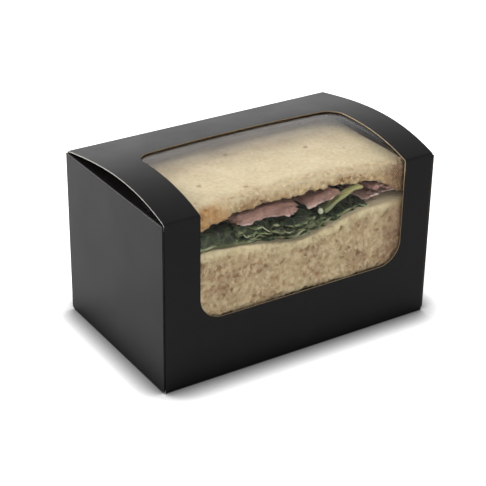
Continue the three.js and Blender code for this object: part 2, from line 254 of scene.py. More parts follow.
def thicken_card(piece, rim="cut_edge"):
    """Gives a folded sheet the card's thickness, inwards from its outside."""
    finish_card(piece, rim)
    apply(
        piece, "SOLIDIFY", thickness=BOARD, offset=-1, use_even_offset=True,
        material_offset=1, material_offset_rim=2,
    )


def smooth(piece):
    activate(piece)
    bpy.ops.object.shade_smooth_by_angle(angle=SHARP_FOLD)
    apply(piece, "WEIGHTED_NORMAL", keep_sharp=True, weight=80)


def join(piece, *others):
    activate(piece)
    for other in others:
        other.select_set(True)
    bpy.ops.object.join()
    return piece


# Materials


def add(tree, kind, settings=None, **sockets):
    item = tree.nodes.new(kind)
    for key, value in (settings or {}).items():
        setattr(item, key, value)
    for key, value in sockets.items():
        item.inputs[key.replace("_", " ")].default_value = value
    return item


def link(tree, source, target):
    tree.links.new(source, target)


def new_material(name, **sockets):
    """A material with its shader's own constant values set, and its tree and shader."""
    made = bpy.data.materials.new(name)
    made.use_nodes = True
    tree = made.node_tree
    shader = tree.nodes["Principled BSDF"]
    for key, value in sockets.items():
        shader.inputs[key.replace("_", " ")].default_value = value
    return tree, shader


def ramp(tree, source, *stops):
    item = tree.nodes.new("ShaderNodeValToRGB")
    points = item.color_ramp.elements
    while len(points) < len(stops):
        points.new(0.5)
    for point, (place, colour) in zip(points, stops):
        point.position = place
        point.color = (*colour, 1)
    link(tree, source, item.inputs["Fac"])
    return item.outputs["Color"]


def blend_colour(tree, factor, a, b):
    """A mix of two colours, each a socket or three numbers."""
    item = add(tree, "ShaderNodeMix", {"data_type": "RGBA"})
    for socket, value in ((item.inputs[0], factor), (item.inputs[6], a), (item.inputs[7], b)):
        if isinstance(value, bpy.types.NodeSocket):
            link(tree, value, socket)
        elif isinstance(value, (int, float)):
            socket.default_value = value
        else:
            socket.default_value = (*value, 1)
    return item.outputs[2]


def calc(tree, kind, *values):
    item = add(tree, "ShaderNodeMath", {"operation": kind})
    for socket, value in zip(item.inputs, values):
        if isinstance(value, bpy.types.NodeSocket):
            link(tree, value, socket)
        else:
            socket.default_value = value
    return item.outputs[0]


def between(tree, value, low, high, to_low=0.0, to_high=1.0):
    """A smooth run from to_low, where the value is low, to to_high, where it is high."""
    item = add(tree, "ShaderNodeMapRange", {"interpolation_type": "SMOOTHSTEP"})
    link(tree, value, item.inputs["Value"])
    for key, number in (("From Min", low), ("From Max", high), ("To Min", to_low), ("To Max", to_high)):
        item.inputs[key].default_value = number
    return item.outputs["Result"]


def noise(tree, size, detail=3.0, roughness=0.55, stretch=(1, 1, 1), shift=(0, 0, 0)):
    """Noise whose spots are about size metres across."""
    place = add(tree, "ShaderNodeTexCoord")
    mapping = add(tree, "ShaderNodeMapping", Scale=stretch, Location=shift)
    item = add(tree, "ShaderNodeTexNoise", Scale=1 / size, Detail=detail, Roughness=roughness)
    link(tree, place.outputs["Object"], mapping.inputs["Vector"])
    link(tree, mapping.outputs["Vector"], item.inputs["Vector"])
    return item.outputs["Fac"]


def attribute(tree, name):
    return add(tree, "ShaderNodeAttribute", {"attribute_name": name}).outputs["Fac"]


def bump(tree, shader, height, depth, strength):
    item = add(tree, "ShaderNodeBump", Strength=strength, Distance=depth)
    link(tree, height, item.inputs["Height"])
    link(tree, item.outputs["Normal"], shader.inputs["Normal"])


def grain_group():
    """Fibre grain of card: a slow mottle, a fine grain and a few long fibres, as one shade and one height."""
    tree = bpy.data.node_groups.new("card_grain", "ShaderNodeTree")
    for name, value in (("Mottle Size", 0.02), ("Grain Size", 0.0006)):
        socket = tree.interface.new_socket(name, in_out="INPUT", socket_type="NodeSocketFloat")
        socket.default_value = value
    for name in ("Shade", "Height"):
        tree.interface.new_socket(name, in_out="OUTPUT", socket_type="NodeSocketFloat")
    entry = tree.nodes.new("NodeGroupInput")
    leave = tree.nodes.new("NodeGroupOutput")
    place = add(tree, "ShaderNodeTexCoord")
    parts = []
    for name in ("Mottle Size", "Grain Size"):
        item = add(tree, "ShaderNodeTexNoise", Detail=3, Roughness=0.6)
        link(tree, place.outputs["Object"], item.inputs["Vector"])
        link(tree, calc(tree, "DIVIDE", 1.0, entry.outputs[name]), item.inputs["Scale"])
        parts.append(item.outputs["Fac"])
    fibre = add(tree, "ShaderNodeTexNoise", Scale=260, Detail=4, Distortion=2.2)
    link(tree, place.outputs["Object"], fibre.inputs["Vector"])
    streak = calc(tree, "ABSOLUTE", calc(tree, "SUBTRACT", fibre.outputs["Fac"], 0.5))
    fibres = between(tree, streak, 0.03, 0.0)
    shade = calc(tree, "ADD", calc(tree, "MULTIPLY", parts[0], 0.6), calc(tree, "MULTIPLY", parts[1], 0.4))
    link(tree, shade, leave.inputs["Shade"])
    height = calc(tree, "ADD", parts[1], calc(tree, "MULTIPLY", fibres, 0.35))
    link(tree, height, leave.inputs["Height"])


def card_grain(tree, mottle, grain):
    item = tree.nodes.new("ShaderNodeGroup")
    item.node_tree = bpy.data.node_groups["card_grain"]
    item.inputs["Mottle Size"].default_value = mottle
    item.inputs["Grain Size"].default_value = grain
    return item.outputs["Shade"], item.outputs["Height"]


def satin_card():
    tree, shader = new_material("satin_black_card", Specular_IOR_Level=0.13)
    shade, height = card_grain(tree, 0.03, 0.0005)
    rubbed = between(tree, noise(tree, 0.012, 5), 0.52, 0.72)
    colour = ramp(tree, shade, (0.3, (0.0032, 0.0029, 0.0030)), (0.7, (0.0056, 0.0052, 0.0053)))
    colour = blend_colour(tree, calc(tree, "MULTIPLY", rubbed, 0.35), colour, (0.009, 0.0083, 0.0083))
    link(tree, colour, shader.inputs["Base Color"])
    link(tree, between(tree, shade, 0.3, 0.7, 0.36, 0.44), shader.inputs["Roughness"])
    bump(tree, shader, height, 0.00003, 0.25)


def card_inside():
    tree, shader = new_material("kraft_inside", Specular_IOR_Level=0.25)
    shade, height = card_grain(tree, 0.006, 0.0008)
    colour = ramp(
        tree, shade, (0.3, (0.16, 0.125, 0.095)), (0.55, (0.21, 0.17, 0.13)), (0.75, (0.27, 0.22, 0.17)),
    )
    link(tree, colour, shader.inputs["Base Color"])
    link(tree, between(tree, shade, 0.3, 0.7, 0.8, 0.95), shader.inputs["Roughness"])
    bump(tree, shader, height, 0.00008, 0.5)


def cut_board(name, dark, pale):
    """The board's core where it was cut: pale at the ends of the sleeve, and browner round the window."""
    tree, shader = new_material(name, Specular_IOR_Level=0.3)
    shade, height = card_grain(tree, 0.004, 0.0003)
    colour = ramp(tree, shade, (0.3, dark), (0.7, pale))
    link(tree, colour, shader.inputs["Base Color"])
    link(tree, between(tree, shade, 0.3, 0.7, 0.7, 0.9), shader.inputs["Roughness"])
    bump(tree, shader, height, 0.00005, 0.5)


def clear_film():
    """Clear film: glass that lets the lamps through. Towards its back edge it has streaks of painted shade
    and painted reflection, a darker mauve tint, and is rougher there.
    """
    tree, shader = new_material("clear_pack_film", Transmission_Weight=1.0, IOR=1.14)
    haze = noise(tree, 0.012, 3, stretch=(0.35, 1.6, 1.6))
    axes = add(tree, "ShaderNodeSeparateXYZ")
    link(tree, add(tree, "ShaderNodeTexCoord").outputs["Object"], axes.inputs["Vector"])
    streaks = between(tree, noise(tree, 0.007, 3, stretch=(0.12, 1.0, 1.0)), 0.35, 0.65, 0.55, 1.0)
    painted_shade = calc(tree, "MULTIPLY", between(tree, axes.outputs["Y"], PAINTED_SHADE_START, PAINTED_SHADE_FULL), streaks)
    clean = ramp(tree, haze, (0.3, (0.96, 0.96, 0.95)), (0.7, (1.0, 1.0, 0.995)))
    # Painted shade and painted reflection: the film's colour turns darker mauve in streaks towards its back
    # edge
    link(tree, blend_colour(tree, painted_shade, clean, (0.62, 0.555, 0.54)), shader.inputs["Base Color"])
    shine = between(tree, haze, 0.3, 0.8, 0.01, 0.05)
    link(tree, calc(tree, "ADD", shine, calc(tree, "MULTIPLY", painted_shade, 0.22)), shader.inputs["Roughness"])
    bump(tree, shader, noise(tree, 0.02, 2, stretch=(0.3, 1.6, 1.6)), 0.0006, 0.3)
    clear = add(tree, "ShaderNodeBsdfTransparent")
    mixed = add(tree, "ShaderNodeMixShader")
    ray = add(tree, "ShaderNodeLightPath")
    link(tree, ray.outputs["Is Shadow Ray"], mixed.inputs["Fac"])
    link(tree, shader.outputs["BSDF"], mixed.inputs[1])
    link(tree, clear.outputs["BSDF"], mixed.inputs[2])
    link(tree, mixed.outputs["Shader"], tree.nodes["Material Output"].inputs["Surface"])


def crumb(tree, colour, mottle):
    """The cut face's colour: a darker tan as painted shade, with pale strands, and brown painted shade in its
    holes and pits.
    """
    cut_face = attribute(tree, "cut")
    patches = between(tree, noise(tree, 0.013, 4, 0.6), 0.40, 0.62)
    # Painted shade: the cut face is painted a darker tan than the top, for the shade on its open crumb
    painted_shade_tan = blend_colour(tree, patches, (0.43, 0.32, 0.17), (0.27, 0.16, 0.07))
    colour = blend_colour(tree, calc(tree, "MULTIPLY", cut_face, 0.65), colour, painted_shade_tan)
    strands = between(tree, noise(tree, 0.0021, 5, 0.65, stretch=(1.0, 1.0, 0.7)), 0.50, 0.58)
    strands = calc(tree, "MULTIPLY", strands, calc(tree, "MULTIPLY", cut_face, 0.6))
    colour = blend_colour(tree, strands, colour, (0.60, 0.49, 0.31))
    holes = between(tree, noise(tree, 0.0017, 4, 0.6, shift=(3.1, 1.7, 0.4)), 0.53, 0.62)
    uneven = calc(tree, "ADD", calc(tree, "MULTIPLY", patches, 0.6), 0.4)
    holes = calc(tree, "MULTIPLY", holes, calc(tree, "MULTIPLY", cut_face, uneven))
    pits = calc(tree, "MULTIPLY", between(tree, attribute(tree, "pit"), 0.15, 0.9), 0.75)
    # Painted shade: the holes pattern and the pits pushed into the crumb are painted brown
    painted_pit_shade = ramp(tree, mottle, (0.35, (0.17, 0.09, 0.04)), (0.65, (0.30, 0.175, 0.085)))
    return blend_colour(tree, calc(tree, "MAXIMUM", holes, pits), colour, painted_pit_shade)


def bran_specks(tree, colour):
    """A few ragged brown specks, each somewhere in a cell of its own."""
    place = add(tree, "ShaderNodeTexCoord")
    cells = add(tree, "ShaderNodeTexVoronoi", Scale=95, Randomness=1)
    link(tree, place.outputs["Object"], cells.inputs["Vector"])
    chosen = between(tree, cells.outputs["Color"], 0.50, 0.52)
    ragged = calc(tree, "MULTIPLY", calc(tree, "SUBTRACT", noise(tree, 0.0013, 3), 0.5), 0.35)
    middle = calc(tree, "ADD", cells.outputs["Distance"], ragged)
    speck = calc(tree, "MULTIPLY", between(tree, middle, 0.14, 0.06), chosen)
    return blend_colour(tree, calc(tree, "MULTIPLY", speck, 0.6), colour, (0.18, 0.11, 0.05))


def bread():
    """White bread: open crumb with painted shade on its cut face and in its holes and pits, a paler rim
    that is a painted highlight, toasted patches, golden crust, painted shade towards the right end
    and a few bran specks.
    """
    tree, shader = new_material(
        "white_bread", Specular_IOR_Level=0.2, Subsurface_Weight=0.1, Subsurface_Scale=0.002,
    )
    mottle = noise(tree, 0.011, 4)
    fine = noise(tree, 0.0016, 5, 0.7)
    colour = ramp(
        tree, mottle,
        (0.32, (0.44, 0.355, 0.225)), (0.50, (0.50, 0.415, 0.268)), (0.70, (0.565, 0.48, 0.325)),
    )
    fine_tone = ramp(tree, fine, (0.36, (0.36, 0.27, 0.15)), (0.62, (0.74, 0.66, 0.48)))
    colour = blend_colour(tree, 0.25, colour, fine_tone)
    colour = crumb(tree, colour, mottle)
    # Painted highlight: the top rim of the lower slice's front is made pale, as if lit from above
    patchy = between(tree, noise(tree, 0.0035, 4, 0.65), 0.38, 0.60, 0.25, 0.75)
    pale = calc(tree, "MULTIPLY", attribute(tree, "pale"), patchy)
    colour = blend_colour(tree, pale, colour, (0.70, 0.62, 0.38))
    uneven = between(tree, noise(tree, 0.004, 4), 0.2, 0.55)
    toasted = calc(tree, "MULTIPLY", attribute(tree, "toast"), uneven)
    golden = ramp(tree, fine, (0.35, (0.26, 0.13, 0.05)), (0.65, (0.52, 0.32, 0.13)))
    colour = blend_colour(tree, toasted, colour, golden)
    # Real crust at the slice's ends, and painted shade on the front towards its right end
    crust_and_painted_shade = ramp(tree, fine, (0.3, (0.15, 0.08, 0.045)), (0.7, (0.30, 0.18, 0.10)))
    colour = blend_colour(tree, attribute(tree, "crust_and_painted_shade"), colour, crust_and_painted_shade)
    link(tree, bran_specks(tree, colour), shader.inputs["Base Color"])
    link(tree, between(tree, fine, 0.3, 0.7, 0.75, 0.95), shader.inputs["Roughness"])
    bump(tree, shader, noise(tree, 0.0009, 4, 0.7), 0.0003, 0.6)


def ham():
    """Cooked ham: mauve pink with paler marbling, with painted shade darkening it along its top under the
    bread, and pale at its torn lower edge.
    """
    tree, shader = new_material(
        "cooked_ham", Specular_IOR_Level=0.45, Subsurface_Weight=0.12, Subsurface_Scale=0.003,
    )
    marble = noise(tree, 0.007, 5, 0.6, stretch=(0.6, 1, 1.4))
    grain = noise(tree, 0.0012, 3, stretch=(0.4, 1, 1))
    colour = ramp(
        tree, marble, (0.30, (0.17, 0.080, 0.062)), (0.5, (0.31, 0.152, 0.117)), (0.70, (0.46, 0.27, 0.208)),
    )
    fibres = ramp(tree, grain, (0.38, (0.15, 0.075, 0.06)), (0.62, (0.50, 0.34, 0.28)))
    colour = blend_colour(tree, 0.35, colour, fibres)
    torn = between(tree, noise(tree, 0.0022, 4, 0.65), 0.38, 0.58)
    fringe = calc(tree, "MULTIPLY", attribute(tree, "fat"), torn)
    colour = blend_colour(tree, fringe, colour, (0.82, 0.70, 0.64))
    # Painted shade: the ham is darkened along its top, under the bread
    colour = blend_colour(tree, attribute(tree, "dark"), colour, (0.17, 0.085, 0.065))
    link(tree, colour, shader.inputs["Base Color"])
    link(tree, between(tree, grain, 0.3, 0.7, 0.35, 0.55), shader.inputs["Roughness"])
    bump(tree, shader, calc(tree, "ADD", grain, noise(tree, 0.0035, 4)), 0.0007, 0.6)


def leaf_green():
    """Salad leaf: dark green with a net of paler veins, yellow-green at its rim."""
    tree, shader = new_material(
        "salad_leaf", Specular_IOR_Level=0.22, Subsurface_Weight=0.15, Subsurface_Scale=0.0015,
    )
    mottle = noise(tree, 0.008, 4)
    colour = ramp(
        tree, mottle,
        (0.3, (0.009, 0.014, 0.007)), (0.55, (0.016, 0.024, 0.011)), (0.8, (0.032, 0.042, 0.018)),
    )
    place = add(tree, "ShaderNodeTexCoord")
    mapping = add(tree, "ShaderNodeMapping", Scale=(1.0, 0.45, 1.0))
    net = add(tree, "ShaderNodeTexVoronoi", {"feature": "DISTANCE_TO_EDGE"}, Scale=210)
    link(tree, place.outputs["Object"], mapping.inputs["Vector"])
    link(tree, mapping.outputs["Vector"], net.inputs["Vector"])
    vein = between(tree, net.outputs["Distance"], 0.09, 0.015)
    colour = blend_colour(tree, calc(tree, "MULTIPLY", vein, 0.35), colour, (0.12, 0.155, 0.07))
    tone = noise(tree, 0.003, 3, shift=(0.7, 0, 0))
    pale = ramp(tree, tone, (0.38, (0.04, 0.06, 0.02)), (0.48, (0.17, 0.21, 0.08)), (0.6, (0.44, 0.47, 0.29)))
    colour = blend_colour(tree, attribute(tree, "rim"), colour, pale)
    link(tree, colour, shader.inputs["Base Color"])
    link(tree, between(tree, mottle, 0.3, 0.7, 0.32, 0.48), shader.inputs["Roughness"])
    bump(tree, shader, vein, 0.0002, 0.5)


def stalk_green():
    """Leaf stalk: yellow-green above, greener below, ribbed along its length."""
    tree, shader = new_material(
        "leaf_stalk", Specular_IOR_Level=0.5, Subsurface_Weight=0.2, Subsurface_Scale=0.002,
    )
    ribs = noise(tree, 0.0012, 2, stretch=(1.0, 0.2, 0.25))
    colour = blend_colour(tree, attribute(tree, "high"), (0.09, 0.125, 0.05), (0.27, 0.255, 0.09))
    colour = blend_colour(tree, calc(tree, "MULTIPLY", ribs, 0.4), colour, (0.36, 0.36, 0.17))
    colour = blend_colour(tree, attribute(tree, "pale"), colour, (0.46, 0.50, 0.36))
    link(tree, colour, shader.inputs["Base Color"])
    link(tree, between(tree, ribs, 0.3, 0.7, 0.35, 0.5), shader.inputs["Roughness"])
    bump(tree, shader, ribs, 0.0002, 0.5)


def seen_straight(tree, ray):
    """1 for what the camera sees, itself or through the film, and 0 for light on its way to a surface."""
    first = calc(tree, "LESS_THAN", ray.outputs["Diffuse Depth"], 0.5)
    through = calc(tree, "MULTIPLY", ray.outputs["Is Transmission Ray"], first)
    return calc(tree, "MAXIMUM", ray.outputs["Is Camera Ray"], through)


def floor_white():
    """White sweep: it takes the shadow, and camera, gloss and glass see it as pure white away from it. Near
    the box its colour and glow are darkened by ambient occlusion, a painted contact shadow.
    """
    tree, shader = new_material("floor_white", Specular_IOR_Level=0.0)
    # Painted contact shadow: ambient occlusion darkens the floor's colour and glow close to the box
    shelter = add(tree, "ShaderNodeAmbientOcclusion", {"samples": 16}, Distance=0.013)
    open_floor = calc(tree, "POWER", shelter.outputs["AO"], 3.3)
    colour = blend_colour(tree, open_floor, (0.10, 0.10, 0.10), (0.8, 0.8, 0.8))
    link(tree, colour, shader.inputs["Base Color"])
    ray = add(tree, "ShaderNodeLightPath")
    seen = seen_straight(tree, ray)
    mirrored = calc(tree, "MULTIPLY", ray.outputs["Is Glossy Ray"], 0.47)
    glow = calc(tree, "MAXIMUM", calc(tree, "MULTIPLY", seen, 0.85), mirrored)
    glow = calc(tree, "MULTIPLY", glow, open_floor)
    link(tree, glow, shader.inputs["Emission Strength"])
    shader.inputs["Emission Color"].default_value = (1, 1, 1, 1)
    link(tree, noise(tree, 0.05), shader.inputs["Roughness"])


# Carton


def bow_rise(share):
    """Rise of the top over its folds, from the back fold (0) to the front fold (1)."""
    return 4 * BOW * share * (1 - share) * (1 + BOW_LEAN * (2 * share - 1))


def wrap(name, half_length):
    """The carton's sleeve as one open surface: base, back, bowed top and front, with round folds."""
    piece = box(name, (-half_length, FRONT, 0), (half_length, BACK, FOLD_HEIGHT))
    edit(piece)
    pick("FACE", lambda place, normal: abs(normal.x) > 0.5)
    bpy.ops.mesh.delete(type="FACE")
    pick("EDGE", lambda place, along: place.z > FOLD_HEIGHT - TINY and abs(along.y) > 0.5)
    bpy.ops.mesh.subdivide(number_cuts=BOW_ROWS - 1)
    for row in range(1, BOW_ROWS):
        share = row / BOW_ROWS
        y = BACK - DEPTH * share
        pick("VERT", lambda place, normal: place.z > FOLD_HEIGHT - TINY and abs(place.y - y) < TINY)
        bpy.ops.transform.translate(value=(0, 0, bow_rise(share)))
    fold_heights = (0, FOLD_HEIGHT)
    pick("EDGE", lambda place, along: abs(along.x) > 0.5 and abs(abs(place.y) - BACK) < TINY
         and any(abs(place.z - z) < TINY for z in fold_heights))
    bpy.ops.mesh.bevel(offset=FOLD_RADIUS, segments=FOLD_STEPS, affect="EDGES")
    done()
    return piece


def dust_flap(end, face):
    """In edit mode, folds a flap in from an end (-1 left, 1 right) of the front (-1) or back (1) panel."""
    x = end * SLEEVE_END
    y = face * BACK
    free = y - face * DUST_LENGTH
    middle = (DUST_LOW + DUST_HIGH) / 2
    height = DUST_HIGH - DUST_LOW

    def at_fold(place, along):
        return (abs(along.z) > 0.5 and abs(place.x - x) < TINY
                and abs(place.y - y) < TINY and DUST_LOW < place.z < DUST_HIGH)

    pick("EDGE", at_fold)
    bpy.ops.mesh.extrude_edges_move(TRANSFORM_OT_translate={"value": (0, free - y, 0)})
    bpy.ops.transform.resize(
        value=(1, 1, 1 - 2 * DUST_SLANT / height), center_override=(x, free, middle),
    )
    pick("VERT", lambda place, normal: abs(place.x - x) < TINY and abs(place.y - free) < TINY)
    bpy.ops.mesh.bevel(offset=DUST_CORNER, segments=6, affect="VERTICES")
    pick("EDGE", at_fold)
    bpy.ops.mesh.bevel(offset=SIDE_FOLD, segments=4, affect="EDGES")


def fold_in_dust_flaps(piece):
    """Four dust flaps, at both ends of the front and back panels."""
    edit(piece)
    for z in (DUST_LOW, DUST_HIGH):
        cut((0, 0, z), (0, 0, 1))
    for end in (-1, 1):
        for face in (-1, 1):
            dust_flap(end, face)
    done()


def window_cutter():
    """The window's opening, as two blocks: one through the front panel and one through the top."""
    left = WINDOW_SHIFT - WINDOW_HALF
    right = WINDOW_SHIFT + WINDOW_HALF
    past = 2 * MM
    low = box("window_low", (left, FRONT - past, WINDOW_SILL), (right, FRONT + past, FOLD_HEIGHT + past))
    edit(low)
    pick("EDGE", lambda place, along: abs(along.y) > 0.5 and abs(place.z - WINDOW_SILL) < TINY)
    bpy.ops.mesh.bevel(offset=WINDOW_FRONT_CORNER, segments=CORNER_STEPS, affect="EDGES")
    done()
    above = FOLD_HEIGHT + BOW + past
    high = box("window_high", (left, FRONT - past, FOLD_HEIGHT - past), (right, WINDOW_BACK, above))
    edit(high)
    pick("EDGE", lambda place, along: abs(along.z) > 0.5 and abs(place.y - WINDOW_BACK) < TINY)
    bpy.ops.mesh.bevel(offset=WINDOW_TOP_CORNER, segments=CORNER_STEPS, affect="EDGES")
    reach = WINDOW_HALF - WINDOW_TOP_CORNER
    pick("EDGE", lambda place, along: abs(along.x) > 0.99 and abs(place.y - WINDOW_BACK) < TINY)
    bpy.ops.mesh.subdivide(number_cuts=WINDOW_STEPS - 1)
    for column in range(1, WINDOW_STEPS):
        share = 2 * column / WINDOW_STEPS - 1
        x = WINDOW_SHIFT + share * reach
        pick("VERT", lambda place, normal: abs(place.x - x) < TINY and place.y > WINDOW_BACK - TINY)
        bpy.ops.transform.translate(value=(0, WINDOW_BULGE * (1 - share * share), 0))
    done()
    return low, high


def cut_window(piece):
    for cutter in window_cutter():
        cutter.data.materials.append(bpy.data.materials["window_edge"])
        apply(
            piece, "BOOLEAN", object=cutter, operation="DIFFERENCE", solver="EXACT", material_mode="TRANSFER",
        )
        bpy.data.objects.remove(cutter)


def glue_flap():
    """The flap that joins the base to the back panel, glued inside it."""
    piece = box(
        "glue_flap",
        (GLUE_INSET - SLEEVE_END, BACK - 2 * BOARD, BOARD / 2),
        (SLEEVE_END - GLUE_INSET, BACK - BOARD - TINY, GLUE_FLAP),
    )
    finish_card(piece)
    edit(piece)
    pick("EDGE", lambda place, along: abs(along.y) > 0.5 and place.z > GLUE_FLAP - TINY)
    bpy.ops.mesh.bevel(offset=GLUE_CORNER, segments=1, affect="EDGES")
    done()
    for polygon in piece.data.polygons:
        polygon.material_index = 1 if abs(polygon.normal.y) > 0.5 else 2
    return piece


def sleeve():
    piece = wrap("sleeve", SLEEVE_END)
    fold_in_dust_flaps(piece)
    face_outwards(piece)
    thicken_card(piece)
    cut_window(piece)
    join(piece, glue_flap())
    smooth(piece)
    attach(piece, "carton")
    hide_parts("carton")


def end_panel(name, node, side):
    """An end panel with the tuck folded in behind it. side is 1 at the right and -1 at the left."""
    face = side * HALF_LENGTH
    foot = FLAP_LOW.z
    deselect()
    bpy.ops.mesh.primitive_plane_add(
        size=1, location=(face, 0, (foot + TUCK_TOP) / 2), rotation=(0, side * pi / 2, 0),
    )
    piece = named(name)
    piece.scale = (TUCK_TOP - foot, 2 * PANEL_HALF_WIDTH, 1)
    settle(piece)
    edit(piece)
    for y in (-TUCK_HALF_WIDTH, TUCK_HALF_WIDTH):
        cut((0, y, 0), (0, 1, 0))

    def at_crease(place, along):
        return (abs(along.y) > 0.5 and place.z > TUCK_TOP - TINY
                and abs(place.x - face) < TINY and abs(place.y) < TUCK_HALF_WIDTH / 2)

    pick("EDGE", at_crease)
    bpy.ops.mesh.extrude_edges_move(TRANSFORM_OT_translate={"value": (-side * TUCK, 0, 0)})
    tip = face - side * TUCK
    bpy.ops.transform.resize(
        value=(1, TUCK_TIP_HALF_WIDTH / TUCK_HALF_WIDTH, 1), center_override=(tip, 0, TUCK_TOP),
    )
    pick("VERT", lambda place, normal: abs(place.x - tip) < TINY)
    bpy.ops.mesh.bevel(offset=TUCK_CORNER, segments=8, affect="VERTICES")
    pick("VERT", lambda place, normal: place.z < foot + TINY and abs(place.y) > PANEL_HALF_WIDTH - TINY)
    bpy.ops.mesh.bevel(offset=PANEL_CORNER, segments=4, affect="VERTICES")
    pick("EDGE", at_crease)
    bpy.ops.mesh.bevel(offset=FOLD_RADIUS, segments=FOLD_STEPS, affect="EDGES")
    done()
    face_outwards(piece)
    thicken_card(piece, rim="satin_black_card")
    smooth(piece)
    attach(piece, node)
    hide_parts(node)


def hinge_crease(name, side):
    """The base's end fold: a quarter-round strip of card where the base turns up into its end panel."""
    radius = HALF_LENGTH - SLEEVE_END
    start = side * SLEEVE_END
    deselect()
    bpy.ops.mesh.primitive_plane_add(size=1, location=(start - side * radius / 2, 0, 0))
    piece = named(name)
    piece.scale = (radius, 2 * (PANEL_HALF_WIDTH - PANEL_CORNER), 1)
    settle(piece)
    edit(piece)
    pick("EDGE", lambda place, along: abs(place.x - start) < TINY)
    bpy.ops.mesh.spin(steps=8, angle=side * pi / 2, center=(start, 0, radius), axis=(0, 1, 0))
    pick("FACE", lambda place, normal: abs(place.z) < TINY)
    bpy.ops.mesh.delete(type="FACE")
    done()
    face_outwards(piece)
    # An open strip has no outside of its own, so its faces are turned away from the fold's middle
    pivot = Vector((start, 0, radius))
    outward = sum((polygon.center - pivot).dot(polygon.normal) for polygon in piece.data.polygons)
    if outward < 0:
        edit(piece)
        bpy.ops.mesh.select_all(action="SELECT")
        bpy.ops.mesh.flip_normals()
        done()
    thicken_card(piece)
    smooth(piece)
    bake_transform(piece)


def window_film():
    """One clear film, bent over the same fold, a little inside the card round the window."""
    piece = wrap("film", WINDOW_HALF + FILM_LAP)
    piece.location.x = WINDOW_SHIFT
    settle(piece)
    edit(piece)
    cut((0, 0, WINDOW_SILL - FILM_LAP), (0, 0, 1), clear_inner=True)
    cut((0, WINDOW_BACK + WINDOW_BULGE + FILM_LAP, 0), (0, 1, 0), clear_outer=True)
    bpy.ops.mesh.select_all(action="SELECT")
    bpy.ops.transform.shrink_fatten(value=-(BOARD + TOUCH), use_even_offset=True)
    done()
    piece.data.materials.append(bpy.data.materials["clear_pack_film"])
    apply(piece, "SOLIDIFY", thickness=FILM, offset=-1, use_even_offset=True)
    smooth(piece)
    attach(piece, "carton")
    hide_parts("window_film")


# Sandwich


def solid_copy(node, name):
    """The node's solid as a welded mesh to model on."""
    piece = bpy.data.objects.new(name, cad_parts[node].data.copy())
    bpy.context.collection.objects.link(piece)
    edit(piece)
    bpy.ops.mesh.select_all(action="SELECT")
    bpy.ops.mesh.remove_doubles(threshold=0.01 * MM)
    done()
    piece.data.materials.clear()
    return piece


def points(piece):
    """Places and normals of the mesh's vertices."""
    count = len(piece.data.vertices)
    place = np.empty(3 * count)
    normal = np.empty(3 * count)
    piece.data.vertices.foreach_get("co", place)
    piece.data.vertices.foreach_get("normal", normal)
    return place.reshape(-1, 3), normal.reshape(-1, 3)


def step(values, low, high):
    """A smooth run from 0 at low to 1 at high."""
    share = np.clip((values - low) / (high - low), 0, 1)
    return share * share * (3 - 2 * share)


def weigh(piece, name, weights):
    """A vertex group with these weights."""
    group = piece.vertex_groups.new(name=name)
    for i, weight in enumerate(weights):
        if weight > 0:
            group.add([i], float(weight), "REPLACE")


def store(piece, name, values):
    """An attribute for the material to read."""
    made = piece.data.attributes.new(name, "FLOAT", "POINT")
    made.data.foreach_set("value", np.asarray(values, np.float32))


def pattern(kind, size, **values):
    """A pattern to push a surface by, with spots of about this size."""
    made = bpy.data.textures.new(kind.lower(), kind)
    made.noise_scale = size
    for key, value in values.items():
        setattr(made, key, value)
    return made


def push(piece, texture, strength, group="", direction="NORMAL", mid_level=0.5):
    """Moves the surface by a pattern, or evenly with no pattern and a middle of 0."""
    apply(
        piece, "DISPLACE", texture=texture, strength=strength, vertex_group=group,
        direction=direction, mid_level=mid_level,
    )


def keep_behind(piece, front):
    """Presses flat whatever would reach past the film."""
    edit(piece)
    pick("VERT", lambda place, normal: place.y < front)
    if any(vert.select for vert in bmesh.from_edit_mesh(piece.data).verts):
        bpy.ops.transform.resize(value=(1, 0, 1), center_override=(0, front, 0))
    done()


def per_column(x, values, width, extreme, chosen=slice(None)):
    """For each place, the least (np.minimum) or greatest (np.maximum) chosen value in its column of x."""
    column = ((x - x.min()) / width).astype(int)
    found = np.full(column.max() + 1, -np.inf if extreme is np.maximum else np.inf)
    extreme.at(found, column[chosen], values[chosen])
    return found[column]


def finish_food(piece, finish):
    """Clears what only the modelling needed, and gives a smooth surface with this finish."""
    piece.vertex_groups.clear()
    piece.data.materials.append(bpy.data.materials[finish])
    activate(piece)
    bpy.ops.object.shade_smooth()


def open_crumb(piece, craggy, normal):
    """Roughens the skin, opens the crumb, and gives how far each place was pitted along its normal."""
    push(piece, pattern("CLOUDS", 11 * MM, noise_depth=1), 0.6 * MM, "skin")
    push(piece, pattern("CLOUDS", 8 * MM, noise_depth=2), (0.8 + 1.6 * craggy) * MM, "crumb")
    push(piece, pattern("CLOUDS", 3.1 * MM, noise_depth=3), (1.0 + 1.6 * craggy) * MM, "crumb")
    before = points(piece)[0]
    holes = pattern("CLOUDS", 2.7 * MM, noise_depth=3, noise_type="HARD_NOISE")
    push(piece, holes, -2.3 * MM, "crumb", mid_level=0.35)
    return ((before - points(piece)[0]) * normal).sum(1)


